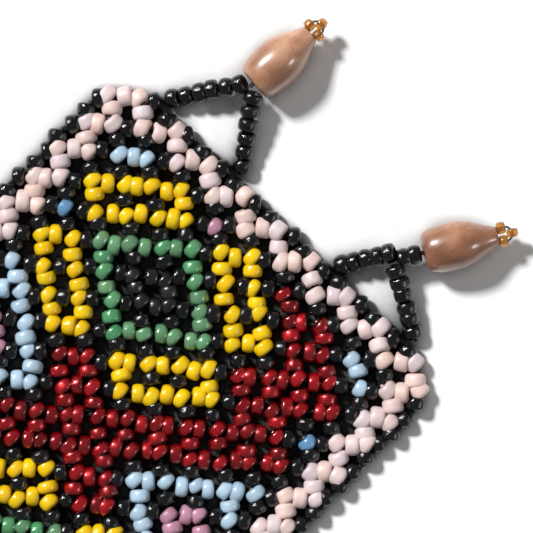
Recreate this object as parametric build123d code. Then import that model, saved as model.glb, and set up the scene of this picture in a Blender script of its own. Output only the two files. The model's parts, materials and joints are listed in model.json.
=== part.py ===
from build123d import *
import os
from math import atan2, cos, degrees, hypot, pi, radians, sin, sqrt

# Netted seed-bead wrist band with two wooden toggles at one end and two bead loops
# at the other. All sizes are in millimetres. The band lies flat on Z = 0 with its
# length along X and the toggles at +X. The origin is under the middle of its box.

# ---- glass seed beads
bead_diameter = 2.04
bead_length = 1.24
rim_diameter = 1.20       # ring at each end, where the round outside meets the flared hole
hole_diameter = 0.84      # narrowest place of the hole
bead_gap = 0.075          # least room between two beads of the net, which lets it fold
slim_relief = 0.04        # all but the border's row beads are this much thinner, clear of the table

# ---- thread
thread_thickness = 0.20
strand_offset = 0.15      # each of the two strands in a row bead lies this far off its axis

# ---- the net, counted in rows and half cells
first_column = -2
last_column = 16
first_row = 1             # the row of teeth that carries the toggles
last_row = -63            # the row of teeth that carries the loops
motif_shift = 34          # rows from one motif to the next
first_hinge_row = -4      # the net folds about the beads of these rows
hinge_row_step = 6
edging_tilt = 50.0        # black edging beads lean this far from the row direction
closure_columns = (2, 12) # the middle of each toggle and of each loop
foot_columns = 2          # each foot is this many columns from that middle

# ---- wooden toggles
toggle_length = 7.9
toggle_diameter = 5.2
toggle_base_diameter = 3.2
toggle_tip_diameter = 2.2
toggle_hole = 1.3
toggle_thread = 0.5
strand_pitch = 1.26       # least distance from bead to bead along a straight strand
leg_gap = 1.6             # between the two legs where they meet
toggle_gap = 0.75         # from the last black bead to the wood
# Where the legs meet, beyond their pivots and sideways; how many beads both strands
# share from there to the wood; and how far the wood leans sideways, in degrees.
toggle_lies = ((6.15, 0.0, 0, -4.5), (3.85, 1.7, 2, -33.0))

# ---- three small beads that stop each toggle on its thread
tip_diameter = 1.30
tip_length = 0.90
tip_rim = 0.76
tip_hole = 0.46

# ---- loops that the toggles button into
loop_pitch = 1.46         # wider than on a straight strand, because the beads turn a curve
loop_leg_beads = 2
strand_thickness = 0.30
foot_gap = 0.30           # from a foot's pivot to its first bead
foot_tail = 0.50          # a strand starts this far before its pivot, near the net's own thread
foot_room = 0.65          # from the edging to the pivots

slim_diameter = bead_diameter - slim_relief
axis_height = bead_diameter / 2
middle_column = (first_column + last_column) / 2


# ---- bead shapes -----------------------------------------------------------

def arc_radius(half_chord, rise):
    return (half_chord**2 + rise**2) / (2 * rise)


def bored_bead(diameter, length, rim, hole):
    """A rounded bead about Z. Its outside is one arc, and so is its flared hole."""
    half = length / 2
    outside = ThreePointArc((rim / 2, -half), (diameter / 2, 0), (rim / 2, half))
    inside = ThreePointArc((rim / 2, half), (hole / 2, 0), (rim / 2, -half))
    return revolve(Plane.XZ * make_face(outside + inside), Axis.Z).solid()


slim_bulge = arc_radius(bead_length / 2, (slim_diameter - rim_diameter) / 2)
slim_core = slim_diameter / 2 - slim_bulge


def outline(diameter, middle, tilt, steps=24):
    """Points round a bead lying flat, seen from above, with its hole at tilt from +Y."""
    half = bead_length / 2
    bulge = arc_radius(half, (diameter - rim_diameter) / 2)
    shape = []
    for step in range(steps + 1):
        share = 2 * step / steps - 1
        along = half * share
        out = diameter / 2 - bulge + sqrt(bulge**2 - along**2)
        shape += [(out, along), (-out, along)]
        shape += [(rim_diameter / 2 * share, half), (rim_diameter / 2 * share, -half)]
    return [
        (middle[0] + out * cos(tilt) + along * sin(tilt),
         middle[1] - out * sin(tilt) + along * cos(tilt))
        for out, along in shape
    ]


def room(points, others):
    return min(hypot(a[0] - b[0], a[1] - b[1]) for a in points for b in others)


def row_pitch_for(across):
    """Rows this far apart leave bead_gap between the two links on one side of a row bead."""
    along = bead_diameter
    for _ in range(20):
        along = 2 * (slim_core * cos(atan2(along, across)) + slim_bulge) + bead_gap
    return along


def net_pitches():
    """(row pitch, column pitch) of the tightest net whose beads clear each other."""
    row_bead = outline(bead_diameter, (0, 0), 0)
    across = bead_length + bead_diameter
    while True:
        narrower = across - 0.01
        along = row_pitch_for(narrower)
        link = outline(slim_diameter, (along / 2, narrower / 2), atan2(along, narrower))
        if room(row_bead, link) < bead_gap:
            return row_pitch_for(across), across
        across = narrower


row_pitch, column_pitch = net_pitches()
link_tilt = degrees(atan2(row_pitch, column_pitch))


# ---- places, with the first row at X = 0 ------------------------------------

edging_out = 0.464 * row_pitch        # end edging bead: outward from its tooth's row
edging_along = 0.592 * column_pitch   # and sideways from its tooth
selvage_out = 0.551 * column_pitch    # side edging bead: outward from its row bead
selvage_along = 0.515 * row_pitch     # and along the band from it

pivot_reach = edging_out + slim_core * cos(radians(edging_tilt)) + slim_bulge + foot_room
foot_spread = foot_columns * column_pitch


def row_x(row):
    return (row - first_row) * row_pitch


def column_y(column):
    return (middle_column - column) * column_pitch


# ---- the pattern -----------------------------------------------------------
# A bead's place is (u, v): twice its place on the net's two slanting directions.
# Row beads have u and v both even, and link beads have one of them odd.

def block(a_range, b_range):
    """Every bead of the cells between two corners."""
    return {
        (u, v)
        for u in range(2 * a_range[0], 2 * a_range[1] + 1)
        for v in range(2 * b_range[0], 2 * b_range[1] + 1)
        if not (u % 2 and v % 2)
    }


def ring(a_range, b_range):
    """The outline of the cells between two corners."""
    sides = {2 * n for n in a_range}, {2 * n for n in b_range}
    return {(u, v) for u, v in block(a_range, b_range) if u in sides[0] or v in sides[1]}


def single(a, b):
    return block((a, a), (b, b))


flower = (
    ring((-2, 1), (4, 7)) | ring((-1, 0), (5, 6))
    | ring((-2, 1), (2, 3)) | ring((-2, 1), (8, 9))
    | ring((-4, -3), (4, 7)) | ring((2, 3), (4, 7))
    | block((-1, 0), (1, 1)) | block((6, 6), (7, 8))
    | single(-3, 3) | single(4, 10) | single(2, 3)
)
bracket = (
    block((-2, 2), (12, 12)) | block((1, 1), (12, 13))
    | block((-2, -2), (12, 16)) | block((-2, -1), (15, 15))
    | ring((-1, 0), (13, 14))
)
ladder = (
    block((-4, -3), (8, 13)) | block((-10, 3), (10, 11))
    | block((2, 3), (8, 11)) | block((3, 4), (8, 9))
    | block((4, 5), (6, 9)) | block((4, 4), (5, 6))
)
half_motif = flower | bracket | ladder
motif = half_motif | {(-14 - u, 42 - v) for u, v in half_motif}


def kind_of(u, v):
    """Which beads a place takes: border, motif or black."""
    column, row = (u + v) / 2, (u - v) / 2
    if min(column - first_column, last_column - column) <= 1:
        return "border"
    if min(first_row - row, row - last_row) <= 1:
        return "border"
    if (u, v) in motif or (u + motif_shift, v - motif_shift) in motif:
        return "motif"
    return "black"


# ---- the net's beads -------------------------------------------------------

full_bead = bored_bead(bead_diameter, bead_length, rim_diameter, hole_diameter)
slim_bead = bored_bead(slim_diameter, bead_length, rim_diameter, hole_diameter)
tip_bead = bored_bead(tip_diameter, tip_length, tip_rim, tip_hole)
hinge_rows = list(range(first_hinge_row, last_row, -hinge_row_step))


def segment_of(row):
    """A hinge row belongs to the segment on its toggle side."""
    return sum(row < hinge for hinge in hinge_rows)


def lay(bead, middle, direction):
    """A copy of a bead with its hole along a direction."""
    return bead.moved(Plane(origin=middle, z_dir=direction).location)


def flat_direction(tilt):
    """Level, at tilt degrees from +Y towards +X."""
    return (sin(radians(tilt)), cos(radians(tilt)), 0)


segments = len(hinge_rows) + 1
net = {kind: [[] for _ in range(segments)] for kind in ("black", "border", "motif")}

for row2 in range(2 * first_row, 2 * last_row - 1, -1):
    for column2 in range(2 * first_column, 2 * last_column + 1):
        if (row2 + column2) % 2:
            continue
        u, v = (column2 + row2) // 2, (column2 - row2) // 2
        if u % 2 and v % 2:
            continue
        place = (row_x(row2 / 2), column_y(column2 / 2), axis_height)
        kind = kind_of(u, v)
        if row2 % 2 == 0:
            made = lay(full_bead if kind == "border" else slim_bead, place, (0, 1, 0))
        else:
            made = lay(slim_bead, place, flat_direction(-link_tilt if u % 2 else link_tilt))
        net[kind][segment_of(row2 / 2)].append(made)

inner_teeth = range(first_row - 2, last_row, -2)
for row in inner_teeth:
    for side, column in ((1, first_column), (-1, last_column)):
        for end in (1, -1):
            place = (
                row_x(row + end) - end * selvage_along,
                column_y(column) + side * selvage_out,
                axis_height,
            )
            lean = flat_direction(-end * side * edging_tilt)
            net["black"][segment_of(row)].append(lay(slim_bead, place, lean))

end_teeth = range(first_column + 1, last_column, 2)
for end, row in ((1, first_row), (-1, last_row)):
    for column in end_teeth[:-1]:
        for side, tooth in ((-1, column), (1, column + 2)):
            place = (
                row_x(row) + end * edging_out,
                column_y(tooth) + side * edging_along,
                axis_height,
            )
            lean = flat_direction(end * side * edging_tilt)
            net["black"][segment_of(row)].append(lay(slim_bead, place, lean))


# ---- the net's thread ------------------------------------------------------

thread_reach = 0.36 * bead_length     # a strand bends this far from the middle of each bead


def through(middle, tilt, offset=0.0):
    """Two points where a strand enters and leaves a bead whose hole is at tilt."""
    dx, dy, _ = flat_direction(tilt)
    x, y = middle[0] + offset, middle[1]
    return [(x - thread_reach * dx, y - thread_reach * dy),
            (x + thread_reach * dx, y + thread_reach * dy)]


def zigzag(tooth_row, valley_row):
    """A strand's points from the first column to the last, through two rows of beads."""
    toward = 1 if valley_row < tooth_row else -1
    points = []
    for column in range(first_column, last_column + 1):
        on_tooth = (column - tooth_row) % 2 == 0
        row = tooth_row if on_tooth else valley_row
        sign = toward if on_tooth else -toward
        points += through((row_x(row), column_y(column)), 180, -sign * strand_offset)
        if column < last_column:
            middle = (row_x((tooth_row + valley_row) / 2), column_y(column + 0.5))
            points += through(middle, 180 + sign * link_tilt)
    return points


def selvage_turn(row, side, column):
    """A strand's points through the two edging beads beside a row of teeth, towards -X."""
    points = []
    for end in (1, -1):
        middle = (
            row_x(row + end) - end * selvage_along,
            column_y(column) + side * selvage_out,
        )
        away = 0 if end == side else 180
        points += through(middle, away - end * side * edging_tilt)
    return points


def ribbon(points, closed=False):
    """A flat strand of square section along a polyline, at the height of the bead axes."""
    half = thread_thickness / 2
    sides = ([], [])
    count = len(points)
    for i, (x, y) in enumerate(points):
        before = points[i - 1] if closed or i else (2 * x - points[1][0], 2 * y - points[1][1])
        last = i == count - 1 and not closed
        after = (2 * x - before[0], 2 * y - before[1]) if last else points[(i + 1) % count]
        first = atan2(y - before[1], x - before[0])
        second = atan2(after[1] - y, after[0] - x)
        turn = (second - first + pi) % (2 * pi) - pi
        facing = first + turn / 2 + pi / 2
        miter = half / cos(turn / 2)
        for side, sign in zip(sides, (1, -1)):
            side.append((x + sign * miter * cos(facing), y + sign * miter * sin(facing)))
    if closed:
        faces = sorted((make_face(Polyline(*side, close=True)) for side in sides),
                       key=lambda face: face.area)
        flat = faces[1] - faces[0]
    else:
        flat = make_face(Polyline(*sides[0], *reversed(sides[1]), close=True))
    low = axis_height - half
    return extrude(Pos(0, 0, low) * flat, amount=thread_thickness, dir=(0, 0, 1)).solid()


threads = [[] for _ in range(segments)]
for row in inner_teeth:
    upper = zigzag(row, row + 1)
    lower = zigzag(row, row - 1)
    right = selvage_turn(row, -1, last_column)
    left = selvage_turn(row, 1, first_column)
    loop = upper + right + lower[::-1] + left[::-1]
    threads[segment_of(row)].append(ribbon(loop, closed=True))

for end, row in ((1, first_row), (-1, last_row)):
    threads[segment_of(row)].append(ribbon(zigzag(row, row - end)))
    points = []
    for column in end_teeth:
        points += through((row_x(row), column_y(column)), 180, end * strand_offset)
        if column == end_teeth[-1]:
            continue
        for side, tooth in ((-1, column), (1, column + 2)):
            middle = (row_x(row) + end * edging_out, column_y(tooth) + side * edging_along)
            points += through(middle, 180 + end * side * edging_tilt)
    threads[segment_of(row)].append(ribbon(points))


# ---- strands of beads ------------------------------------------------------

def rod(start, finish, thickness):
    """A round strand from one point to another."""
    start, finish = Vector(*start), Vector(*finish)
    section = Plane(origin=start, z_dir=finish - start) * Circle(thickness / 2)
    return extrude(section, amount=(finish - start).length).solid()


def string_beads(bead, start, finish, lead=0.0):
    """As many beads as fit between two points, the first one lead away from the start."""
    start, finish = Vector(*start), Vector(*finish)
    direction = (finish - start).normalized()
    run = (finish - start).length - lead
    count = int(run / strand_pitch + 1e-6)
    pitch = run / count
    return [lay(bead, start + direction * (lead + pitch * (i + 0.5)), direction) for i in range(count)]


# ---- toggles ---------------------------------------------------------------

def oval_wood():
    """An oval wooden bead with its hole along Z and its broad end at the origin."""
    blunt, thick, slim = toggle_base_diameter / 2, toggle_diameter / 2, toggle_tip_diameter / 2
    shoulder, neck = 0.42 * toggle_length, 0.82 * toggle_length
    outside = Spline((blunt, 0), (thick, shoulder), tangents=((1, 0.8), (0, 1)))
    outside += Spline((thick, shoulder), (1.35 * slim, neck), (slim, toggle_length),
                      tangents=((0, 1), (-0.5, 1), (-0.2, 1)))
    hole = toggle_hole / 2
    rest = Polyline((slim, toggle_length), (hole, toggle_length), (hole, 0), (blunt, 0))
    return revolve(Plane.XZ * make_face(outside + rest), Axis.Z).solid()


wood_height = toggle_diameter / 2
tip_room = 0.07
tip_side = (tip_length / 2 + tip_room, tip_diameter / 2 + tip_room)
tip_turn = (tip_length + 2 * tip_room + 0.415 * tip_diameter, 0)
parts = {}
pivots = {}
for number, (column, lie) in enumerate(zip(closure_columns, toggle_lies), 1):
    meet_out, meet_side, shared, lean = lie
    middle = Vector(pivot_reach, column_y(column), axis_height)
    meet = Vector(pivot_reach + meet_out, middle.Y + meet_side, wood_height)
    ahead = Vector(cos(radians(lean)), sin(radians(lean)), 0)
    aside = Vector(-ahead.Y, ahead.X, 0)
    legs, leg_threads = [], []
    for side in (1, -1):
        foot = middle + Vector(0, side * foot_spread, 0)
        top = meet + aside * (side * leg_gap / 2)
        legs += string_beads(slim_bead, foot, top, foot_gap)
        tail = (top - foot).normalized() * foot_tail
        leg_threads.append(rod(foot - tail, top, strand_thickness))
    parts[f"toggle_leg_beads_{number}"] = legs
    parts[f"toggle_leg_threads_{number}"] = leg_threads

    swing = meet + ahead * (toggle_gap / 3)
    base = meet + ahead * (toggle_gap + shared * strand_pitch)
    if shared:
        parts[f"toggle_stem_beads_{number}"] = string_beads(
            slim_bead, meet + ahead * (2 * toggle_gap / 3), base - ahead * (toggle_gap / 3))
    parts[f"toggle_wood_{number}"] = [lay(oval_wood(), base, ahead)]

    stop = base + ahead * toggle_length
    parts[f"toggle_tip_beads_{number}"] = [
        lay(tip_bead, stop + ahead * tip_side[0] + aside * tip_side[1], ahead),
        lay(tip_bead, stop + ahead * tip_turn[0], aside),
        lay(tip_bead, stop + ahead * tip_side[0] - aside * tip_side[1], ahead),
    ]
    parts[f"toggle_core_thread_{number}"] = [rod(swing, stop + ahead * tip_room, toggle_thread)]
    pivots[f"toggle_{number}"] = middle, swing, ahead, aside


# ---- loops -----------------------------------------------------------------

loop_pivot_x = row_x(last_row) - pivot_reach
bend_x = loop_pivot_x - foot_gap - loop_leg_beads * strand_pitch
bend_beads = int(pi * foot_spread / loop_pitch)
for number, column in enumerate(closure_columns, 1):
    y = column_y(column)
    beads, sides = [], []
    for side in (1, -1):
        foot = (loop_pivot_x, y + side * foot_spread, axis_height)
        knee = (bend_x, y + side * foot_spread, axis_height)
        beads += string_beads(slim_bead, foot, knee, foot_gap)
        sides.append(Line(Vector(*foot) + Vector(foot_tail, 0, 0), knee))
    for i in range(bend_beads):
        turn = pi * (i + 0.5) / bend_beads
        place = (bend_x - foot_spread * sin(turn), y + foot_spread * cos(turn), axis_height)
        beads.append(lay(slim_bead, place, (-cos(turn), -sin(turn), 0)))
    parts[f"loop_beads_{number}"] = beads
    bend = ThreePointArc(sides[0] @ 1, (bend_x - foot_spread, y, axis_height), sides[1] @ 1)
    section = Plane(origin=sides[0] @ 0, z_dir=sides[0] % 0) * Circle(strand_thickness / 2)
    strand = sweep(section, path=Wire([sides[0], bend, sides[1]]))
    parts[f"loop_thread_{number}"] = [strand.solid()]
    pivots[f"loop_{number}"] = (Vector(loop_pivot_x, y, axis_height),)


# ---- write the pieces ------------------------------------------------------

for number in range(segments):
    for kind in ("black", "border", "motif"):
        if net[kind][number]:
            parts[f"{kind}_beads_{number + 1:02d}"] = net[kind][number]
    parts[f"net_thread_{number + 1:02d}"] = threads[number]

boxes = [solid.bounding_box() for solids in parts.values() for solid in solids]
middle_x = (max(box.max.X for box in boxes) + min(box.min.X for box in boxes)) / 2
to_origin = Pos(-middle_x, 0, 0)
os.makedirs("parts", exist_ok=True)
for name, solids in parts.items():
    moved = [to_origin * solid for solid in solids]
    export_step(moved[0] if len(moved) == 1 else Compound(children=moved), f"parts/{name}.step")

print(f"row pitch {row_pitch:.4f}, column pitch {column_pitch:.4f}")
print("rows the net folds about, at X:", [round(row_x(row) - middle_x, 3) for row in hinge_rows])
for name, places in pivots.items():
    shown = [(round(p.X - middle_x * (i < 2), 4), round(p.Y, 4), round(p.Z, 4)) for i, p in enumerate(places)]
    print(name, "pivots and directions:", shown)
print(len(parts), "nodes,", sum(len(solids) for solids in parts.values()), "solids")
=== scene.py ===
# %% [markdown]
# A netted seed-bead wrist band. Rows of small glass beads hang on thread like a fishing
# net, a stepped flower pattern runs along it, and two oval wooden toggles on beaded
# strands close it. Every bead is laid where the working model has it, give or take the
# unevenness of hand work. Each piece then rides with the body it belongs to, so the band
# can fold and the toggles can swing.

# %% Load the working model
import json
import math
import bpy
import numpy as np
from mathutils import Matrix, Vector


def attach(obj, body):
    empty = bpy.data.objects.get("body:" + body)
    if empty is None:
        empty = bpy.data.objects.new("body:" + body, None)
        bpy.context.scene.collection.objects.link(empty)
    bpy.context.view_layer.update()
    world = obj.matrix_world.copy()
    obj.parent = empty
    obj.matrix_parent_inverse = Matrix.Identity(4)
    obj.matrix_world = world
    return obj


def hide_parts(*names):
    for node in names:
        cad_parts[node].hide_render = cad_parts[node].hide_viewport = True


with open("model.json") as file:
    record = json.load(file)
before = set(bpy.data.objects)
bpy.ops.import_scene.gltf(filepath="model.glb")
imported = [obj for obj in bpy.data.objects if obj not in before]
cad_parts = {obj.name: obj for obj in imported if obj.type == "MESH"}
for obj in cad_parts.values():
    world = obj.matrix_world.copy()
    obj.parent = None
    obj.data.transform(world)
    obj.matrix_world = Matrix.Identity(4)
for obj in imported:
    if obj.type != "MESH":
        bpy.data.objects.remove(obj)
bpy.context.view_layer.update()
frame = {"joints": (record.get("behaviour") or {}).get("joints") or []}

MM = 0.001
rng = np.random.default_rng(11)

# %% [markdown]
# A glass bead is drawn as a turned shape: a soft barrel outside, a rounded lip at each
# end and a flared hole. Real beads are cut from a glass tube and tumbled, so no two are
# the same. A family of slightly uneven barrels gives that, and each bead laid down is
# also scaled and leaned a little on its own.

# %% A bead, and a family of uneven ones
AROUND = 20


def bead_profile(length, diameter, hole, squareness):
    """(radius, height) points of one turn, from the hole's lip over the outside and back."""
    points = []
    for t in np.sin(np.linspace(-1, 1, 11) * math.pi / 2):
        bulge = (1 - abs(t) ** squareness) ** 0.5 if abs(t) < 1 else 0
        points.append((0.33 * diameter + 0.17 * diameter * bulge, 0.48 * length * t))
    lip = [(0.28 * diameter, 0.5 * length), (0.5 * hole + 0.02, 0.46 * length)]
    inside = [(0.5 * hole, 0.2 * length), (0.5 * hole, -0.2 * length)]
    bottom = [(0.5 * hole + 0.02, -0.46 * length), (0.28 * diameter, -0.5 * length)]
    return np.array(points + lip + inside + bottom)


def turned(profile, uneven, seed):
    """Vertices and faces of a profile turned about Z, a little out of round."""
    noise = np.random.default_rng(seed)
    angle = np.arange(AROUND) * 2 * math.pi / AROUND
    oval = np.cos(2 * angle + noise.uniform(0, 6))
    three_sided = np.cos(3 * angle + noise.uniform(0, 6))
    wobble = 1 + uneven * (oval + 0.6 * three_sided)
    slant = uneven * 0.9 * np.cos(angle + noise.uniform(0, 6))
    rings = len(profile)
    verts = np.empty((rings, AROUND, 3))
    verts[..., 0] = profile[:, :1] * np.cos(angle) * wobble
    verts[..., 1] = profile[:, :1] * np.sin(angle) * wobble
    verts[..., 2] = profile[:, 1:] + slant * profile[:, :1]
    i, j = np.meshgrid(np.arange(rings), np.arange(AROUND), indexing="ij")
    k, m = (i + 1) % rings, (j + 1) % AROUND
    faces = np.stack([i * AROUND + j, i * AROUND + m, k * AROUND + m, k * AROUND + j], -1)
    return verts.reshape(-1, 3), faces.reshape(-1, 4)


def uneven_family(count, length, diameter, hole, squareness, step, uneven, seed):
    """A few versions of one bead, each a little squarer than the last."""
    return [
        turned(bead_profile(length, diameter, hole, squareness + step * s), uneven, seed + s)
        for s in range(count)
    ]


round_family = uneven_family(6, 1.40, 2.08, 0.84, 2.2, 0.25, 0.016, 0)
square_family = uneven_family(6, 1.55, 2.20, 0.84, 2.6, 0.4, 0.018, 20)
tip_family = uneven_family(3, 0.92, 1.32, 0.46, 2.4, 0.0, 0.02, 40)
print("faces in one bead:", len(round_family[0][1]))

# %% [markdown]
# The glass comes in opaque, lustred and silver-lined kinds. Opaque glass has a bright
# clear skin over an even colour, lustre glass has a metallic film, and a silver-lined
# bead is clear coloured glass with a mirror in its hole. One recipe makes them all:
# colour, how metallic, how rough, and how much light passes. Every bead carries its own
# number, which shifts its tone and polish, and fine speckle breaks up the surface.
# Each bead's ends are also painted darker, a painted shade where beads meet.

# %% Small helpers for building a material
def new_material(name):
    material = bpy.data.materials.new(name)
    material.use_nodes = True
    nodes, links = material.node_tree.nodes, material.node_tree.links
    return material, nodes, links, nodes["Principled BSDF"]


def add_noise(nodes, scale, detail):
    texture = nodes.new("ShaderNodeTexNoise")
    texture.inputs["Scale"].default_value = scale
    texture.inputs["Detail"].default_value = detail
    return texture


def ranged(nodes, links, source, low, high):
    """A value that runs from low to high as the source runs from 0 to 1."""
    stretch = nodes.new("ShaderNodeMapRange")
    stretch.inputs["To Min"].default_value = low
    stretch.inputs["To Max"].default_value = high
    links.new(source, stretch.inputs["Value"])
    return stretch.outputs["Result"]


def multiplied(nodes, links, first, second):
    times = nodes.new("ShaderNodeMath")
    times.operation = "MULTIPLY"
    links.new(first, times.inputs[0])
    links.new(second, times.inputs[1])
    return times.outputs[0]


def add_bump(nodes, links, skin, height, strength, distance):
    bump = nodes.new("ShaderNodeBump")
    bump.inputs["Strength"].default_value = strength
    bump.inputs["Distance"].default_value = distance
    links.new(height, bump.inputs["Height"])
    links.new(bump.outputs["Normal"], skin.inputs["Normal"])


print("material helpers ready")

# %% The glass recipe
SPECKLE = 0.06


def bead_glass(name, colour, other=None, metallic=0.0, rough=0.12, clear=0.0, coat=0.6,
               vary=0.10, painted_end_shade=0.25):
    """Glass that runs from one colour to the other, bead by bead, with painted shade at each
    bead's ends.
    """
    material, nodes, links, skin = new_material(name)
    own = nodes.new("ShaderNodeAttribute")
    own.attribute_name = "own"
    split = nodes.new("ShaderNodeSeparateColor")
    links.new(own.outputs["Color"], split.inputs["Color"])
    spots = add_noise(nodes, 2600, 4)
    shade = ranged(nodes, links, split.outputs["Red"], 1 - vary, 1 + vary)
    fleck = ranged(nodes, links, spots.outputs["Fac"], 1 - SPECKLE, 1 + SPECKLE)
    # painted shade: the colour darkens towards each bead's ends, so beads part with dark gaps
    ends = ranged(nodes, links, own.outputs["Alpha"], 1.0, 1 - painted_end_shade)
    brightness = multiplied(nodes, links, multiplied(nodes, links, shade, fleck), ends)
    batch = nodes.new("ShaderNodeMix")
    batch.data_type = "RGBA"
    batch.inputs["A"].default_value = (*colour, 1)
    batch.inputs["B"].default_value = (*(other or colour), 1)
    links.new(split.outputs["Blue"], batch.inputs["Factor"])
    tint = nodes.new("ShaderNodeHueSaturation")
    links.new(batch.outputs["Result"], tint.inputs["Color"])
    links.new(brightness, tint.inputs["Value"])
    links.new(tint.outputs["Color"], skin.inputs["Base Color"])
    polish = ranged(nodes, links, split.outputs["Green"], 0.6 * rough, 1.6 * rough)
    links.new(polish, skin.inputs["Roughness"])
    dents = add_noise(nodes, 900, 3)
    add_bump(nodes, links, skin, dents.outputs["Fac"], 0.22, 0.00006)
    skin.inputs["Metallic"].default_value = metallic
    skin.inputs["IOR"].default_value = 1.54
    skin.inputs["Transmission Weight"].default_value = clear
    skin.inputs["Coat Weight"].default_value = coat
    skin.inputs["Coat Roughness"].default_value = 0.04
    return material


print("glass recipe ready")

# %% [markdown]
# Each kind of glass is one use of the recipe. Two colours are given where beads of one
# kind are not all alike, such as the warm and cool pinks of the border. The red is
# silver-lined glass, and its ends are painted nearly black, a painted shade that leaves
# the middle shining as a painted highlight.

# %% The kinds of glass
# every kind of glass gets painted shade at its bead ends: a quarter darker unless given, less for
# the pink, nearly black for the red
glass = {
    "black": bead_glass(
        "black_bead_glass", (0.003, 0.003, 0.004), rough=0.06, vary=0.4, coat=0.2),
    "pink": bead_glass(
        "pale_pink_bead_glass", (0.74, 0.54, 0.47), (0.69, 0.57, 0.60),
        rough=0.36, vary=0.07, coat=0.12, painted_end_shade=0.12),
    "yellow": bead_glass(
        "yellow_bead_glass", (0.84, 0.50, 0.003), (0.84, 0.56, 0.003),
        rough=0.18, vary=0.07, coat=0.35),
    "light_blue": bead_glass(
        "light_blue_bead_glass", (0.42, 0.57, 0.70), rough=0.16, vary=0.07, coat=0.4),
    "blue": bead_glass(
        "mid_blue_bead_glass", (0.12, 0.27, 0.46), rough=0.14, vary=0.08, coat=0.5),
    "mauve": bead_glass(
        "mauve_bead_glass", (0.48, 0.23, 0.32), rough=0.20, vary=0.10, coat=0.5),
    "green": bead_glass(
        "green_lustre_bead_glass", (0.16, 0.33, 0.17), (0.07, 0.29, 0.12),
        metallic=0.15, rough=0.14, vary=0.15, coat=1.0),
    "grey": bead_glass(
        "dark_metal_bead_glass", (0.055, 0.05, 0.055),
        metallic=0.85, rough=0.16, vary=0.3, coat=0.6),
    # the red's ends are painted nearly black, a painted shade that leaves its middle as a painted
    # highlight
    "red": bead_glass(
        "red_silver_lined_bead_glass", (0.52, 0.006, 0.012), (0.30, 0.0, 0.004),
        metallic=0.6, rough=0.22, vary=0.35, coat=1.0, painted_end_shade=0.96),
    "amber": bead_glass(
        "amber_bead_glass", (0.80, 0.36, 0.06), rough=0.06, clear=0.80, vary=0.08, coat=1.0),
}
print("kinds of glass:", len(glass))

# %% [markdown]
# The net is worked in rows. Row beads have their holes across the band, and the link
# beads between them slant one way and then the other. Counting a place on the net's two
# slanting directions (a, b) makes the pattern easy to say: squares, rings and bars.
# The motif is one flower with its brackets and ladder, turned by half a turn, and then
# repeated further along the band.

# %% The pattern, colour by colour
FIRST_COLUMN, LAST_COLUMN, FIRST_ROW, LAST_ROW = -2, 16, 1, -63
MOTIF_SHIFT = 34                    # steps along the band from one motif to the next
MOTIF_TURN = (-14, 42)              # the half turn takes (a, b) to these less (a, b)


def block(a_range, b_range):
    """All beads of a filled rectangle, row beads and the links between them."""
    return {
        (u, v)
        for u in range(2 * a_range[0], 2 * a_range[1] + 1)
        for v in range(2 * b_range[0], 2 * b_range[1] + 1)
        if not (u % 2 and v % 2)
    }


def ring(a_range, b_range):
    """Only the outer beads of a rectangle."""
    ends = {2 * n for n in a_range}, {2 * n for n in b_range}
    return {(u, v) for u, v in block(a_range, b_range) if u in ends[0] or v in ends[1]}


def single(a, b):
    return block((a, a), (b, b))


half_motif = {
    "green": ring((-2, 1), (4, 7)),
    "grey": ring((-1, 0), (5, 6)),
    "yellow": ring((-2, 1), (2, 3)) | ring((-2, 1), (8, 9))
    | ring((-4, -3), (4, 7)) | ring((2, 3), (4, 7)),
    "light_blue": block((-1, 0), (1, 1)) | block((6, 6), (7, 8)) | block((-2, 2), (12, 12))
    | block((1, 1), (12, 13)) | block((-2, -2), (12, 16)) | block((-2, -1), (15, 15)),
    "blue": single(-3, 3) | single(4, 10),
    "mauve": single(2, 3) | ring((-1, 0), (13, 14)),
    "red": block((-4, -3), (8, 13)) | block((-10, 3), (10, 11)) | block((2, 3), (8, 11))
    | block((3, 4), (8, 9)) | block((4, 5), (6, 9)) | block((4, 4), (5, 6)),
}
colour_at = {}
for colour, places in half_motif.items():
    for u, v in places:
        for turned_place in ((u, v), (MOTIF_TURN[0] - u, MOTIF_TURN[1] - v)):
            colour_at.setdefault(turned_place, colour)


def colour_of(u, v):
    """The glass of one bead: border, first motif, second motif or plain black."""
    column, row = (u + v) / 2, (u - v) / 2
    if min(column - FIRST_COLUMN, LAST_COLUMN - column, FIRST_ROW - row, row - LAST_ROW) <= 1:
        return "pink"
    second = colour_at.get((u + MOTIF_SHIFT, v - MOTIF_SHIFT))
    return colour_at.get((u, v)) or second or "black"


print("beads in one motif:", len(colour_at))

# %% [markdown]
# The places come from the working model: its folds run through rows of beads, so the
# first and last fold give the spacing of the rows and where they start, in millimetres.
# The band is worked flat, so every bead's hole lies level at half a bead's height.

# %% The spacing of the net
joint_at = {
    joint["name"]: [c / MM for c in joint["pos_m"]]
    for joint in frame["joints"] if "pos_m" in joint
}
FIRST_FOLD_ROW, LAST_FOLD_ROW = -4, -58
ROW_PITCH = (joint_at["fold_01"][0] - joint_at["fold_10"][0]) / (FIRST_FOLD_ROW - LAST_FOLD_ROW)
FIRST_ROW_X = joint_at["fold_01"][0] + (FIRST_ROW - FIRST_FOLD_ROW) * ROW_PITCH
COLUMN_PITCH, AXIS_HEIGHT = 2.5, joint_at["fold_01"][2]
LINK_TILT = math.degrees(math.atan2(ROW_PITCH, COLUMN_PITCH))
ROWS_PER_FOLD = 6
HINGE_ROWS = range(FIRST_FOLD_ROW, LAST_ROW, -ROWS_PER_FOLD)
SEGMENTS = range(1, len(HINGE_ROWS) + 2)


def row_x(row):
    return FIRST_ROW_X + (row - FIRST_ROW) * ROW_PITCH


def column_y(column):
    return ((FIRST_COLUMN + LAST_COLUMN) // 2 - column) * COLUMN_PITCH


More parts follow.
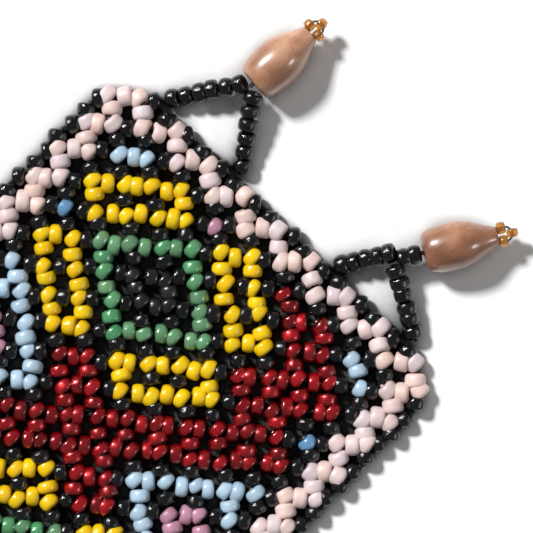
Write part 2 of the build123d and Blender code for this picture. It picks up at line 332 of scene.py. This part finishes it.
def segment_of(row):
    return 1 + sum(row < hinge for hinge in HINGE_ROWS)


def level(tilt):
    """A level direction, turned by so many degrees from straight across the band."""
    return (math.sin(math.radians(tilt)), math.cos(math.radians(tilt)), 0)


print("row pitch:", round(ROW_PITCH, 3), "tilt of a link:", round(LINK_TILT, 1))

# %% [markdown]
# A hand-worked net is never quite even: each place drifts a little with its neighbours.
# A few slow waves across the band give that. The small black edging beads sit in pairs
# in the notches of the border. They are tucked in and a little lower than the rest,
# because the thread pulls them against the teeth.

# %% Where every bead of the net lies
EDGING_TILT = 50
SIDE_ALONG, SIDE_OUT, SIDE_TUCK, SIDE_SINK = 0.515 * ROW_PITCH, 0.551 * COLUMN_PITCH, 0.60, 0.30
END_OUT, END_ALONG, END_TUCK, END_SINK = 0.464 * ROW_PITCH, 0.592 * COLUMN_PITCH, 0.35, 0.20


def worked(x, y, z):
    """A place, moved by the unevenness of hand work."""
    dx = 0.16 * math.sin(0.9 * x + 1.3 * y) + 0.12 * math.sin(1.9 * y - 0.8 * x + 1)
    dy = 0.16 * math.sin(1.1 * y - 0.9 * x + 2) + 0.12 * math.sin(1.7 * x + 0.5 * y)
    return (x + dx, y + dy, z + 0.08 * math.sin(1.3 * x + 0.9 * y))


def side_edging(row, end, side, column):
    """The place of one edging bead of a notch on a long side."""
    return (row_x(row + end) - end * SIDE_ALONG,
            column_y(column) + side * (SIDE_OUT - SIDE_TUCK),
            AXIS_HEIGHT - SIDE_SINK)


def end_edging(row, end, side, tooth):
    """The place of one edging bead between two teeth of a short end."""
    return (row_x(row) + end * (END_OUT - END_TUCK),
            column_y(tooth) + side * END_ALONG,
            AXIS_HEIGHT - END_SINK)


net = {}


def put(segment, colour, place, direction):
    net.setdefault((segment, colour), []).append((worked(*place), direction))


for row2 in range(2 * FIRST_ROW, 2 * LAST_ROW - 1, -1):
    for column2 in range(2 * FIRST_COLUMN, 2 * LAST_COLUMN + 1):
        u, v = (column2 + row2) // 2, (column2 - row2) // 2
        if (row2 + column2) % 2 or (u % 2 and v % 2):
            continue
        tilt = 0 if row2 % 2 == 0 else (-LINK_TILT if u % 2 else LINK_TILT)
        place = (row_x(row2 / 2), column_y(column2 / 2), AXIS_HEIGHT)
        put(segment_of(row2 / 2), colour_of(u, v), place, level(tilt))

inner_teeth = range(FIRST_ROW - 2, LAST_ROW, -2)
for row in inner_teeth:
    for side, column in ((1, FIRST_COLUMN), (-1, LAST_COLUMN)):
        for end in (1, -1):
            place = side_edging(row, end, side, column)
            put(segment_of(row), "black", place, level(-end * side * EDGING_TILT))

end_teeth = range(FIRST_COLUMN + 1, LAST_COLUMN, 2)
for end, row in ((1, FIRST_ROW), (-1, LAST_ROW)):
    for column in end_teeth[:-1]:
        for side, tooth in ((-1, column), (1, column + 2)):
            place = end_edging(row, end, side, tooth)
            put(segment_of(row), "black", place, level(end * side * EDGING_TILT))

print("beads in the net:", sum(len(beads) for beads in net.values()))

# %% [markdown]
# Laying two thousand beads one object at a time would be slow, so each segment's beads
# of one kind are gathered into a single mesh. Each bead gets its own turn about its
# hole, a lean of a few degrees, a size a few hundredths off, and its own random numbers
# for the glass recipe, along with how far each point lies from the bead's middle, which
# the glass uses for painted shade at the bead's ends. A bead that would dip below the
# table is lifted onto it.

# %% Meshes from points
def mesh_object(name, verts, faces, materials):
    """A smooth object from points in millimetres."""
    mesh = bpy.data.meshes.new(name)
    mesh.from_pydata((np.array(verts) * MM).tolist(), [], faces)
    for material in materials:
        mesh.materials.append(material)
    mesh.polygons.foreach_set("use_smooth", np.ones(len(mesh.polygons), dtype=bool))
    mesh.update()
    obj = bpy.data.objects.new(name, mesh)
    bpy.context.scene.collection.objects.link(obj)
    return obj


def add_piece(obj, body, node):
    """Let a shown piece ride with its body, in place of the plain piece of that name."""
    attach(obj, body)
    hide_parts(node)


print("mesh helpers ready")

# %% Lay beads into one mesh
def facing(direction):
    return np.array(Vector(direction).to_track_quat("Z", "Y").to_matrix())


def lay_beads(name, groups, lean=6.0, spread=0.035, loose=0.06):
    """One object from [(glass name, family, [(place, direction), ...]), ...]."""
    all_verts, all_faces, all_own, all_slots = [], [], [], []
    start = 0
    for slot, (_, family, beads) in enumerate(groups):
        for place, direction in beads:
            verts, faces = family[rng.integers(len(family))]
            turn = np.array(Matrix.Rotation(rng.uniform(0, 2 * math.pi), 3, "Z"))
            nod = Matrix.Rotation(math.radians(rng.normal(0, lean)), 3, "X")
            roll = Matrix.Rotation(math.radians(rng.normal(0, lean)), 3, "Y")
            tip = np.array(nod @ roll)
            size = 1 + rng.normal(0, spread, 3) * (1, 0, 1)
            size[1] = size[0]
            moved = (verts * size) @ (facing(direction) @ tip @ turn).T
            moved += np.array(place) + rng.normal(0, loose, 3) * (1, 1, 0.6)
            moved[:, 2] -= min(0, moved[:, 2].min())
            all_verts.append(moved)
            all_faces.append(faces + start)
            numbers = np.tile([*rng.random(3), 1.0], (len(verts), 1))
            # this fourth number is not random: it grows from the bead's middle to its ends, and
            # the glass paints shade there with it
            numbers[:, 3] = (np.abs(verts[:, 2]) / np.abs(verts[:, 2]).max()) ** 2
            all_own.append(numbers)
            all_slots.append(np.full(len(faces), slot))
            start += len(verts)
    obj = mesh_object(name, np.concatenate(all_verts), np.concatenate(all_faces).tolist(),
                      [glass[kind] for kind, _, _ in groups])
    mesh = obj.data
    mesh.polygons.foreach_set("material_index", np.concatenate(all_slots).astype(np.int32))
    own = mesh.attributes.new("own", "FLOAT_COLOR", "POINT")
    own.data.foreach_set("color", np.concatenate(all_own).astype(np.float32).ravel())
    mesh.update()
    return obj


print("bead shapes to draw from:", len(round_family) + len(square_family) + len(tip_family))

# %% The net, segment by segment
MOTIF_COLOURS = ("green", "grey", "yellow", "light_blue", "blue", "mauve", "red")
for segment in SEGMENTS:
    body, tail = f"band_{segment:02d}", f"{segment:02d}"
    black = lay_beads(f"black_beads_shown_{tail}",
                      [("black", round_family, net[segment, "black"])])
    add_piece(black, body, f"black_beads_{tail}")
    border = lay_beads(f"border_beads_shown_{tail}",
                       [("pink", square_family, net[segment, "pink"])], lean=8)
    add_piece(border, body, f"border_beads_{tail}")
    groups = [(c, round_family, net[segment, c]) for c in MOTIF_COLOURS if (segment, c) in net]
    if groups:
        motif = lay_beads(f"motif_beads_shown_{tail}", groups)
        add_piece(motif, body, f"motif_beads_{tail}")
print("segments laid:", len(SEGMENTS))

# %% [markdown]
# The thread is what holds it together: waxed nylon that runs along a row, down through
# a link, through a row bead and up again, and turns back through two edging beads at
# the side. It shows only as dark glints between beads. It is made as a thin round cord
# along the same route, smooth-shaded so that its eight sides read as round.

# %% Waxed nylon
def thread_material(name, colour):
    """Dark thread whose twist shows as fine slanting lines."""
    material, nodes, links, skin = new_material(name)
    ply = nodes.new("ShaderNodeTexWave")
    ply.inputs["Scale"].default_value = 900
    ply.inputs["Distortion"].default_value = 2.0
    tint = nodes.new("ShaderNodeHueSaturation")
    tint.inputs["Color"].default_value = (*colour, 1)
    links.new(ranged(nodes, links, ply.outputs["Fac"], 0.5, 1.4), tint.inputs["Value"])
    links.new(tint.outputs["Color"], skin.inputs["Base Color"])
    add_bump(nodes, links, skin, ply.outputs["Fac"], 0.5, 0.00004)
    skin.inputs["Roughness"].default_value = 0.5
    return material


waxed_nylon = thread_material("waxed_nylon_thread", (0.018, 0.017, 0.016))
print("thread material:", waxed_nylon.name)

# %% A round cord along points
CORD_SIDES = 8


def cord_mesh(name, runs, thickness, material):
    """A round cord along each run of points; a run is (points, closed)."""
    verts, faces = [], []
    for points, closed in runs:
        path = np.array(points, dtype=float)
        if closed:
            ahead, behind = np.roll(path, -1, 0), np.roll(path, 1, 0)
        else:
            ahead = np.vstack([path[1:], 2 * path[-1:] - path[-2:-1]])
            behind = np.vstack([2 * path[:1] - path[1:2], path[:-1]])
        along = ahead - behind
        along /= np.linalg.norm(along, axis=1)[:, None]
        aside = np.cross(along, (0, 0, 1.0))
        aside /= np.linalg.norm(aside, axis=1)[:, None]
        above = np.cross(aside, along)
        start, count = len(verts), len(path)
        for p, s, a in zip(path, aside, above):
            for k in range(CORD_SIDES):
                t = k * 2 * math.pi / CORD_SIDES
                verts.append(p + thickness / 2 * (math.cos(t) * s + math.sin(t) * a))
        rings = [[start + i * CORD_SIDES + k for k in range(CORD_SIDES)] for i in range(count)]
        for i in range(count if closed else count - 1):
            here, there = rings[i], rings[(i + 1) % count]
            for k in range(CORD_SIDES):
                m = (k + 1) % CORD_SIDES
                faces.append((here[k], here[m], there[m], there[k]))
        if not closed:
            faces.append(tuple(rings[0]))
            faces.append(tuple(rings[-1][::-1]))
    return mesh_object(name, verts, faces, [material])


print("sides of a cord:", CORD_SIDES)

# %% [markdown]
# The route is built from two points inside each bead, one on either side of its middle,
# so the thread runs straight in the hole and turns only between beads. One closed round
# takes in two rows of the net and the edging beads at both sides.

# %% The thread of the net
HALF_REACH = 0.42        # how far from a bead's middle the thread stays straight
BIGHT = 0.15             # how far two passes through one bead lie from its middle
NET_THREAD = 0.34


def through(x, y, z, tilt):
    """Two points inside the bead at a place, in the order that the thread passes them."""
    dx, dy, _ = level(tilt)
    x, y, z = worked(x, y, z)
    return [(x - HALF_REACH * dx, y - HALF_REACH * dy, z),
            (x + HALF_REACH * dx, y + HALF_REACH * dy, z)]


def zigzag(tooth_row, valley_row):
    """The thread's way across the band, between a row of teeth and the row beside it."""
    toward = 1 if valley_row < tooth_row else -1
    points = []
    for column in range(FIRST_COLUMN, LAST_COLUMN + 1):
        on_tooth = (column - tooth_row) % 2 == 0
        row = tooth_row if on_tooth else valley_row
        sign = toward if on_tooth else -toward
        points += through(row_x(row) - sign * BIGHT, column_y(column), AXIS_HEIGHT, 180)
        if column < LAST_COLUMN:
            link_x = row_x((tooth_row + valley_row) / 2)
            points += through(link_x, column_y(column + 0.5), AXIS_HEIGHT, 180 + sign * LINK_TILT)
    return points


def selvage_turn(row, side, column):
    """The thread's way through the two edging beads of a notch."""
    points = []
    for end in (1, -1):
        tilt = (0 if end == side else 180) - end * side * EDGING_TILT
        points += through(*side_edging(row, end, side, column), tilt)
    return points


runs = {segment: [] for segment in SEGMENTS}
for row in inner_teeth:
    loop = zigzag(row, row + 1) + selvage_turn(row, -1, LAST_COLUMN)
    loop += zigzag(row, row - 1)[::-1] + selvage_turn(row, 1, FIRST_COLUMN)[::-1]
    runs[segment_of(row)].append((loop, True))
for end, row in ((1, FIRST_ROW), (-1, LAST_ROW)):
    runs[segment_of(row)].append((zigzag(row, row - end), False))
    points = []
    for column in end_teeth:
        points += through(row_x(row) + end * BIGHT, column_y(column), AXIS_HEIGHT, 180)
        if column != end_teeth[-1]:
            for side, tooth in ((-1, column), (1, column + 2)):
                tilt = 180 + end * side * EDGING_TILT
                points += through(*end_edging(row, end, side, tooth), tilt)
    runs[segment_of(row)].append((points, False))

for segment, lines in runs.items():
    thread = cord_mesh(f"net_thread_shown_{segment:02d}", lines, NET_THREAD, waxed_nylon)
    add_piece(thread, f"band_{segment:02d}", f"net_thread_{segment:02d}")
print("thread rings:", sum(len(lines) for lines in runs.values()))

# %% [markdown]
# Each toggle hangs on two short strands of black beads that start a few beads apart at
# the edge and come together. On one toggle they meet right at the wood. On the other
# they meet early, and both threads share two beads before the wood, which lies at a
# slant. The strands are strung through bead after bead, evenly spaced.

# %% Beaded strands of the toggles
PIVOT_X = joint_at["toggle_1_legs"][0]
CLOSURE_Y = 5 * COLUMN_PITCH
FOOT_SPREAD, LEG_GAP, TOGGLE_GAP = 2 * COLUMN_PITCH, 1.6, 0.75
STRAND_PITCH, WOOD_HEIGHT, STRAND_THREAD = 1.26, 2.6, 0.3
LEAD_IN, LEAD_OUT, FOOT_TAIL, FOOT_DIP = 0.75, 0.30, 1.2, 0.1
# Each toggle: its side, how far out and aside the strands meet, beads shared, slant.
toggles = {
    1: (CLOSURE_Y, 6.15, 0.0, 0, -4.5),
    2: (-CLOSURE_Y, 3.85, 1.7, 2, -33.0),
}


def string_beads(start, finish, lead=0.0):
    """Beads evenly spaced from start to finish, as many as fit."""
    start, finish = Vector(start), Vector(finish)
    direction = (finish - start).normalized()
    run = (finish - start).length - lead
    count = int(run / STRAND_PITCH + 1e-6)
    pitch = run / count
    places = [start + direction * (lead + pitch * (i + 0.5)) for i in range(count)]
    return [(tuple(place), tuple(direction)) for place in places]


toggle_lines = {}
for number, (y, meet_out, meet_side, shared, slant) in toggles.items():
    ahead = Vector((math.cos(math.radians(slant)), math.sin(math.radians(slant)), 0))
    aside = Vector((-ahead.y, ahead.x, 0))
    meet = Vector((PIVOT_X + meet_out, y + meet_side, WOOD_HEIGHT))
    base = meet + ahead * (TOGGLE_GAP + shared * STRAND_PITCH)
    toggle_lines[number] = meet, base, ahead, aside
    legs, strands = [], []
    for side in (1, -1):
        foot = Vector((PIVOT_X, y + side * FOOT_SPREAD, AXIS_HEIGHT))
        top = meet + aside * (side * LEG_GAP / 2)
        along = (top - foot).normalized()
        legs += string_beads(foot - along * LEAD_IN, top + along * LEAD_OUT)
        tail = foot - along * FOOT_TAIL
        tail.z = AXIS_HEIGHT - FOOT_DIP
        strands.append(([tuple(p) for p in (tail, foot, foot.lerp(top, 0.5), top)], False))
    body = f"toggle_legs_{number}"
    beads = lay_beads(f"toggle_leg_beads_shown_{number}",
                      [("black", round_family, legs)], lean=5, loose=0.05)
    add_piece(beads, body, f"toggle_leg_beads_{number}")
    thread = cord_mesh(f"toggle_leg_thread_shown_{number}", strands, STRAND_THREAD, waxed_nylon)
    add_piece(thread, body, f"toggle_leg_threads_{number}")
    if shared:
        stem = string_beads(meet + ahead * TOGGLE_GAP * 2 / 3, base - ahead * TOGGLE_GAP / 3)
        beads = lay_beads(f"toggle_stem_beads_shown_{number}",
                          [("black", round_family, stem)], lean=5)
        add_piece(beads, f"toggle_drop_{number}", f"toggle_stem_beads_{number}")
    print("toggle", number, "strand beads:", len(legs), "wood at", [round(c, 1) for c in base])

# %% [markdown]
# The wooden toggle is a turned, varnished bead, broad near the strand and drawn out to a
# slim blunt tip, with a hole right through. Its grain is drawn as stretched, bent rings
# that show as long darker streaks, with pores, a darker stain on one side, and a clear
# coat of varnish that gives soft streaks of light.

# %% Wood and its varnish
def blended(nodes, links, factor, under, over):
    """A colour laid over another where the factor is high."""
    mix = nodes.new("ShaderNodeMix")
    mix.data_type = "RGBA"
    mix.inputs["B"].default_value = (*over, 1)
    links.new(factor, mix.inputs["Factor"])
    links.new(under, mix.inputs["A"])
    return mix.outputs["Result"]


def wood_material(name, pale, dark, stain, shift, heading):
    """Long grain along the heading, with pores, stain and varnish."""
    material, nodes, links, skin = new_material(name)
    place = nodes.new("ShaderNodeTexCoord")
    grain_space = nodes.new("ShaderNodeMapping")
    grain_space.inputs["Location"].default_value = (shift, shift, 0)
    grain_space.inputs["Rotation"].default_value = (0, 0, -heading)
    grain_space.inputs["Scale"].default_value = (0.16, 1, 1)
    links.new(place.outputs["Object"], grain_space.inputs["Vector"])
    rings = add_noise(nodes, 780, 6)
    rings.inputs["Roughness"].default_value = 0.6
    links.new(grain_space.outputs["Vector"], rings.inputs["Vector"])
    ramp = nodes.new("ShaderNodeValToRGB")
    low, high = ramp.color_ramp.elements
    low.position, low.color = 0.34, (*dark, 1)
    high.position, high.color = 0.62, (*pale, 1)
    links.new(rings.outputs["Fac"], ramp.inputs["Fac"])
    colour = ramp.outputs["Color"]
    layers = (
        (4200, 3, grain_space.outputs["Vector"], 0.58, 0.72, 0.55, [c * 0.45 for c in dark]),
        (210, 2, place.outputs["Object"], 0.42, 0.66, 0.75, stain),
    )
    for scale, detail, space, start, full, most, over in layers:
        spots = add_noise(nodes, scale, detail)
        links.new(space, spots.inputs["Vector"])
        strength = nodes.new("ShaderNodeMapRange")
        strength.inputs["From Min"].default_value = start
        strength.inputs["From Max"].default_value = full
        strength.inputs["To Max"].default_value = most
        links.new(spots.outputs["Fac"], strength.inputs["Value"])
        colour = blended(nodes, links, strength.outputs["Result"], colour, over)
    links.new(colour, skin.inputs["Base Color"])
    add_bump(nodes, links, skin, rings.outputs["Fac"], 0.35, 0.00008)
    skin.inputs["Roughness"].default_value = 0.34
    skin.inputs["Coat Weight"].default_value = 0.8
    skin.inputs["Coat Roughness"].default_value = 0.14
    return material


print("wood recipe ready")

# %% [markdown]
# The shape is one outline turned about the toggle's own line: out along the oval, round
# the blunt tip, and back through the bored hole. A wood turner never hits a true circle,
# so the radius swells and shrinks by less than a hundredth on the way round.

# %% The turned toggle
WOOD_LENGTH, WOOD_AROUND = 7.9, 72
OUTLINE = [
    (0, 1.55), (0.06, 1.78), (0.22, 2.0), (0.55, 2.2), (1.1, 2.38), (1.8, 2.51),
    (2.6, 2.58), (3.3, 2.6), (4.0, 2.55), (4.7, 2.40), (5.3, 2.19), (5.9, 1.90),
    (6.4, 1.63), (6.9, 1.38), (7.35, 1.2), (7.65, 1.09), (7.82, 0.98), (7.9, 0.84),
    (7.86, 0.70), (7.6, 0.62), (0.35, 0.62), (0.03, 0.76),
]


def turned_wood(name, base, ahead, material):
    """An oval bead from its blunt base to its slim tip, with a rounded edge at each end."""
    turn = facing(tuple(ahead))
    noise = np.random.default_rng(len(name) + int(abs(ahead.y) * 10))
    flat = noise.uniform(0, 6)
    verts, faces = [], []
    for height, radius in OUTLINE:
        for k in range(WOOD_AROUND):
            t = 2 * math.pi * k / WOOD_AROUND
            r = radius * (1 + 0.008 * math.cos(2 * t + flat) + 0.005 * math.cos(5 * t + height))
            point = np.array((r * math.cos(t), r * math.sin(t), height))
            verts.append(turn @ point + np.array(base))
    for i in range(len(OUTLINE)):
        here, there = i * WOOD_AROUND, (i + 1) % len(OUTLINE) * WOOD_AROUND
        for k in range(WOOD_AROUND):
            m = (k + 1) % WOOD_AROUND
            faces.append((here + k, here + m, there + m, there + k))
    return mesh_object(name, verts, faces, [material])


woods = {
    1: wood_material("varnished_light_wood", (0.60, 0.34, 0.22), (0.40, 0.19, 0.10),
                     (0.20, 0.08, 0.04), 0.0, math.radians(toggles[1][4])),
    2: wood_material("varnished_brown_wood", (0.42, 0.20, 0.11), (0.27, 0.11, 0.055),
                     (0.15, 0.055, 0.028), 0.031, math.radians(toggles[2][4])),
}
for number, (_, base, ahead, _) in toggle_lines.items():
    wood = turned_wood(f"toggle_wood_shown_{number}", base, ahead, woods[number])
    add_piece(wood, f"toggle_bead_{number}", f"toggle_wood_{number}")
print("wooden toggles:", len(woods))

# %% [markdown]
# Beyond the wood the thread turns back through three tiny amber beads, which sit as a
# small point and stop the wood from sliding off. They are clear glass, so the thread
# inside shows faintly.

# %% Amber stop beads and the thread through the wood
CORE_THREAD, CORE_APART = 0.22, 0.12
TIP_OUT, TIP_ASIDE, TIP_TURN = 0.50, 0.70, 1.54
TURN_BACK = [(-0.1, 0.1), (0.15, 0.45), (TIP_OUT, TIP_ASIDE), (1.1, 0.72), (1.5, 0.4)]

for number, (meet, base, ahead, aside) in toggle_lines.items():
    stop = base + ahead * WOOD_LENGTH
    tips = [
        (tuple(stop + ahead * TIP_OUT + aside * TIP_ASIDE), tuple(ahead)),
        (tuple(stop + ahead * TIP_TURN), tuple(aside)),
        (tuple(stop + ahead * TIP_OUT - aside * TIP_ASIDE), tuple(ahead)),
    ]
    beads = lay_beads(f"toggle_tip_beads_shown_{number}", [("amber", tip_family, tips)],
                      lean=4, spread=0.02, loose=0.02)
    add_piece(beads, f"toggle_drop_{number}", f"toggle_tip_beads_{number}")
    route = TURN_BACK + [(TIP_TURN, 0)] + [(out, -side) for out, side in TURN_BACK[::-1]]
    core = [meet + ahead * 0.2, meet.lerp(stop, 0.5), stop + ahead * 0.05]
    lines = [([tuple(stop + ahead * out + aside * side) for out, side in route], False)]
    for side in (CORE_APART, -CORE_APART):
        lines.append(([tuple(p + aside * side) for p in core], False))
    thread = cord_mesh(f"toggle_core_thread_shown_{number}", lines, CORE_THREAD, waxed_nylon)
    add_piece(thread, f"toggle_drop_{number}", f"toggle_core_thread_{number}")
print("stop beads:", len(tips) * len(toggle_lines))

# %% [markdown]
# The far end closes the band: two loops of black beads, each wide enough for a toggle
# to be pushed through on its side. The strand leaves the edge, runs straight for two
# beads, turns half a circle and comes back.

# %% Loops at the far end
LOOP_X, LOOP_PITCH, LOOP_LEG_BEADS = joint_at["loop_1_swing"][0], 1.46, 2
FOOT_GAP, LOOP_TAIL, LOOP_THREAD, BEND_STEPS = 0.30, 1.1, 0.28, 24
bend_x = LOOP_X - FOOT_GAP - LOOP_LEG_BEADS * STRAND_PITCH
bend_beads = int(math.pi * FOOT_SPREAD / LOOP_PITCH)


def on_bend(y, turn):
    """A place on the half circle at the far end of a loop."""
    return bend_x - FOOT_SPREAD * math.sin(turn), y + FOOT_SPREAD * math.cos(turn), AXIS_HEIGHT


for number, y in ((1, CLOSURE_Y), (2, -CLOSURE_Y)):
    beads = []
    for side in (1, -1):
        foot = (LOOP_X, y + side * FOOT_SPREAD, AXIS_HEIGHT)
        beads += string_beads(foot, (bend_x, y + side * FOOT_SPREAD, AXIS_HEIGHT), FOOT_GAP)
    for i in range(bend_beads):
        turn = math.pi * (i + 0.5) / bend_beads
        beads.append((on_bend(y, turn), (-math.cos(turn), -math.sin(turn), 0)))
    path = [on_bend(y, math.pi * i / BEND_STEPS) for i in range(BEND_STEPS + 1)]
    path.insert(0, (LOOP_X + LOOP_TAIL, y + FOOT_SPREAD, AXIS_HEIGHT))
    path.append((LOOP_X + LOOP_TAIL, y - FOOT_SPREAD, AXIS_HEIGHT))
    laid = lay_beads(f"loop_beads_shown_{number}", [("black", round_family, beads)],
                     lean=2, loose=0.02)
    add_piece(laid, f"loop_{number}", f"loop_beads_{number}")
    thread = cord_mesh(f"loop_thread_shown_{number}", [(path, False)], LOOP_THREAD, waxed_nylon)
    add_piece(thread, f"loop_{number}", f"loop_thread_{number}")
    print("loop", number, "beads:", len(beads))

# %% [markdown]
# The band is shown lying on white paper. A plain matt floor takes the soft shadow. Right
# beside and under the beads the paper's colour is painted darker, down to almost black,
# a painted shade where light hardly reaches.

# %% Floor
FLOOR_REACH, FLOOR_DROP = 3, 0.00002
floor_mesh = bpy.data.meshes.new("paper_floor")
corners = [(x * FLOOR_REACH, y * FLOOR_REACH, 0) for x, y in ((-1, -1), (1, -1), (1, 1), (-1, 1))]
floor_mesh.from_pydata(corners, [], [(0, 1, 2, 3)])
floor = bpy.data.objects.new("paper_floor", floor_mesh)
bpy.context.scene.collection.objects.link(floor)
floor.location.z = -FLOOR_DROP
paper, nodes, links, skin = new_material("white_paper")
# painted shade: the paper's colour goes almost black where beads lie close beside or over it
near = nodes.new("ShaderNodeAmbientOcclusion")
near.inputs["Distance"].default_value = 0.003
near.samples = 8
painted_contact_shade = nodes.new("ShaderNodeValToRGB")
painted_shade_stop, open_paper = painted_contact_shade.color_ramp.elements
painted_shade_stop.position, painted_shade_stop.color = 0.30, (0.02, 0.02, 0.02, 1)
open_paper.position, open_paper.color = 0.75, (0.90, 0.90, 0.90, 1)
links.new(near.outputs["AO"], painted_contact_shade.inputs["Fac"])
links.new(painted_contact_shade.outputs["Color"], skin.inputs["Base Color"])
skin.inputs["Roughness"].default_value = 0.9
skin.inputs["Specular IOR Level"].default_value = 0.1
floor_mesh.materials.append(paper)
print("floor:", 2 * FLOOR_REACH, "m wide")

# %% [markdown]
# Light comes mostly from one slanting source beyond the long side, with a weak lamp
# opposite and an even, dim surround, so black glass keeps small bright glints and stays
# black. Behind the floor the backdrop is plain white.

# %% Lamps
def add_lamp(name, data, toward):
    """A lamp turned so that it shines along a direction."""
    lamp = bpy.data.objects.new(name, data)
    bpy.context.scene.collection.objects.link(lamp)
    lamp.rotation_euler = Vector(toward).to_track_quat("-Z", "Y").to_euler()
    return lamp


key_data = bpy.data.lights.new("key_sun", "SUN")
key_data.energy = 4.3
key_data.angle = math.radians(10)
add_lamp("key_sun", key_data, (0.02, -0.72, -0.69))

fill_data = bpy.data.lights.new("fill_lamp", "AREA")
fill_data.shape = "DISK"
fill_data.size = 0.14
fill_data.energy = 0.6
fill_place, fill_aim = Vector((0.30, -0.45, 0.35)), Vector((0.045, 0, 0))
fill_lamp = add_lamp("fill_lamp", fill_data, fill_aim - fill_place)
fill_lamp.location = fill_place
print("lamps:", len(bpy.data.lights))

# %% Surround and backdrop
world = bpy.data.worlds.new("studio")
world.use_nodes = True
bpy.context.scene.world = world
sky_nodes, sky_links = world.node_tree.nodes, world.node_tree.links
surround = sky_nodes["Background"]
surround.inputs["Color"].default_value = (1, 1, 1, 1)
surround.inputs["Strength"].default_value = 0.18
backdrop = sky_nodes.new("ShaderNodeBackground")
backdrop.inputs["Color"].default_value = (1, 1, 1, 1)
backdrop.inputs["Strength"].default_value = 1.0
seen = sky_nodes.new("ShaderNodeLightPath")
choose = sky_nodes.new("ShaderNodeMixShader")
sky_links.new(seen.outputs["Is Camera Ray"], choose.inputs["Fac"])
sky_links.new(surround.outputs["Background"], choose.inputs[1])
sky_links.new(backdrop.outputs["Background"], choose.inputs[2])
sky_links.new(choose.outputs["Shader"], sky_nodes["World Output"].inputs["Surface"])
print("surround strength:", round(surround.inputs["Strength"].default_value, 2))

# %% [markdown]
# The camera looks straight down on the toggle end, turned so that the band runs from
# the lower left to the upper right.

# %% Camera
VIEW_WIDTH, VIEW_DISTANCE, VIEW_TURN = 0.0559, 0.30, -45.9
SENSOR_WIDTH = 36
camera_data = bpy.data.cameras.new("overhead_camera")
camera_data.lens = SENSOR_WIDTH * VIEW_DISTANCE / VIEW_WIDTH
camera_data.clip_start = 0.01
camera = bpy.data.objects.new("overhead_camera", camera_data)
bpy.context.scene.collection.objects.link(camera)
camera.location = (0.05456, -0.0018, VIEW_DISTANCE + 0.001)
camera.rotation_euler = (0, 0, math.radians(VIEW_TURN))
bpy.context.scene.camera = camera
bpy.context.scene.view_settings.view_transform = "Standard"
print("lens:", round(camera_data.lens, 1), "mm")
